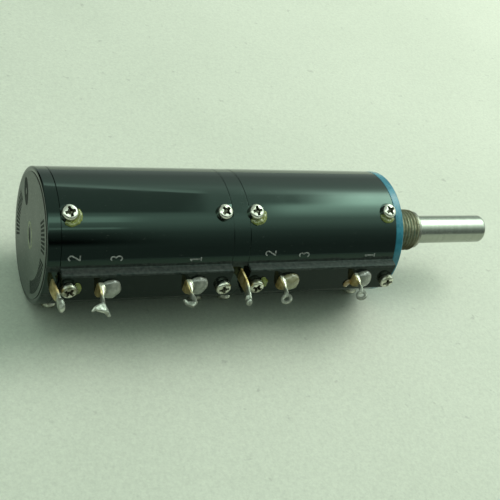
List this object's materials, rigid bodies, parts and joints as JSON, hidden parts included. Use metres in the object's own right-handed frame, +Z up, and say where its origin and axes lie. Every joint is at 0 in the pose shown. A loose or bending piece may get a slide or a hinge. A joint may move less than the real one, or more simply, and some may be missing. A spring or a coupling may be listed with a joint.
{
  "type": "dual-gang multi-turn potentiometer",
  "caption": "Two-gang multi-turn wire-wound potentiometer: two black cylindrical sections in line, a blue front lid, a threaded bushing, a plain shaft and solder lugs along a flat pad.",
  "frame": {"origin": "centre of the mounting face, where the bushing leaves the blue front lid", "axes": "+X along the shaft away from the body, +Z up as it lies on a bench, and -Y the way the flat terminal pad faces"},
  "size_m": [0.1017, 0.0335, 0.025],
  "materials": {
    "black_plastic": "glossy moulded black, lightly scratched",
    "blue_plastic": "satin sky blue moulded plastic",
    "bushing_nickel": "dull nickel-plated brass, fine thread",
    "shaft_steel": "turned satin steel",
    "screw_nickel": "bright nickel plate",
    "clip_steel": "bright spring steel",
    "gold_plate": "thin tarnished gold plate",
    "solder": "dull lumpy solder",
    "resin": "cloudy cast resin",
    "lacquer": "thin translucent yellow-green lacquer",
    "label_grey": "matte grey-green printed label",
    "bronze": "plain bronze",
    "wire_wound": "fine resistance wire on a round core",
    "cream_plastic": "natural moulded plastic",
    "slip_brass": "polished brass"
  },
  "bodies": {
    "body": {"front_lid": "blue_plastic", "mounting_bushing": "bushing_nickel", "front_housing": "black_plastic", "middle_ring": "black_plastic", "rear_housing": "black_plastic", "rear_lid": "black_plastic", "rear_label": "label_grey", "middle_bearing": "bronze", "rear_bearing": "bronze", "front_resistance_coil": "wire_wound", "rear_resistance_coil": "wire_wound", "front_terminal_1": "gold_plate", "front_terminal_2": "gold_plate", "front_terminal_3": "gold_plate", "rear_terminal_1": "gold_plate", "rear_terminal_2": "gold_plate", "rear_terminal_3": "gold_plate", "front_pick_up_brush": "slip_brass", "rear_pick_up_brush": "slip_brass", "front_terminal_resin": "resin", "rear_terminal_resin": "resin", "terminal_solder": "solder", "front_lid_screws": "screw_nickel", "front_coupling_screws": "screw_nickel", "rear_coupling_screws": "screw_nickel", "rear_lid_screws": "screw_nickel", "screw_lacquer": "lacquer"},
    "shaft": {"shaft": "shaft_steel", "shaft_retaining_clip": "clip_steel", "thrust_washer": "bronze", "rear_shaft_circlip": "clip_steel", "front_rotor": "cream_plastic", "rear_rotor": "cream_plastic", "front_slip_ring": "slip_brass", "rear_slip_ring": "slip_brass", "front_collector_rail": "slip_brass", "rear_collector_rail": "slip_brass"},
    "front_carriage": {"front_wiper_carriage": "cream_plastic", "front_wiper_contact": "slip_brass"},
    "rear_carriage": {"rear_wiper_carriage": "cream_plastic", "rear_wiper_contact": "slip_brass"}
  },
  "joints": [
    {"name": "shaft_turn", "type": "hinge", "parent": "body", "child": "shaft", "pos_m": [0, 0, 0], "axis": [1, 0, 0], "range_deg": [-1800, 1800]},
    {"name": "front_carriage_slide", "type": "slide", "parent": "shaft", "child": "front_carriage", "axis": [1, 0, 0], "range_m": [-0.0084, 0.0084]},
    {"name": "rear_carriage_slide", "type": "slide", "parent": "shaft", "child": "rear_carriage", "axis": [1, 0, 0], "range_m": [-0.0084, 0.0084]}
  ],
  "couplings": [
    {"joint": "front_carriage_slide", "follows": "shaft_turn", "m_per_rad": 0.00026499},
    {"joint": "rear_carriage_slide", "follows": "shaft_turn", "m_per_rad": 0.00026499}
  ]
}
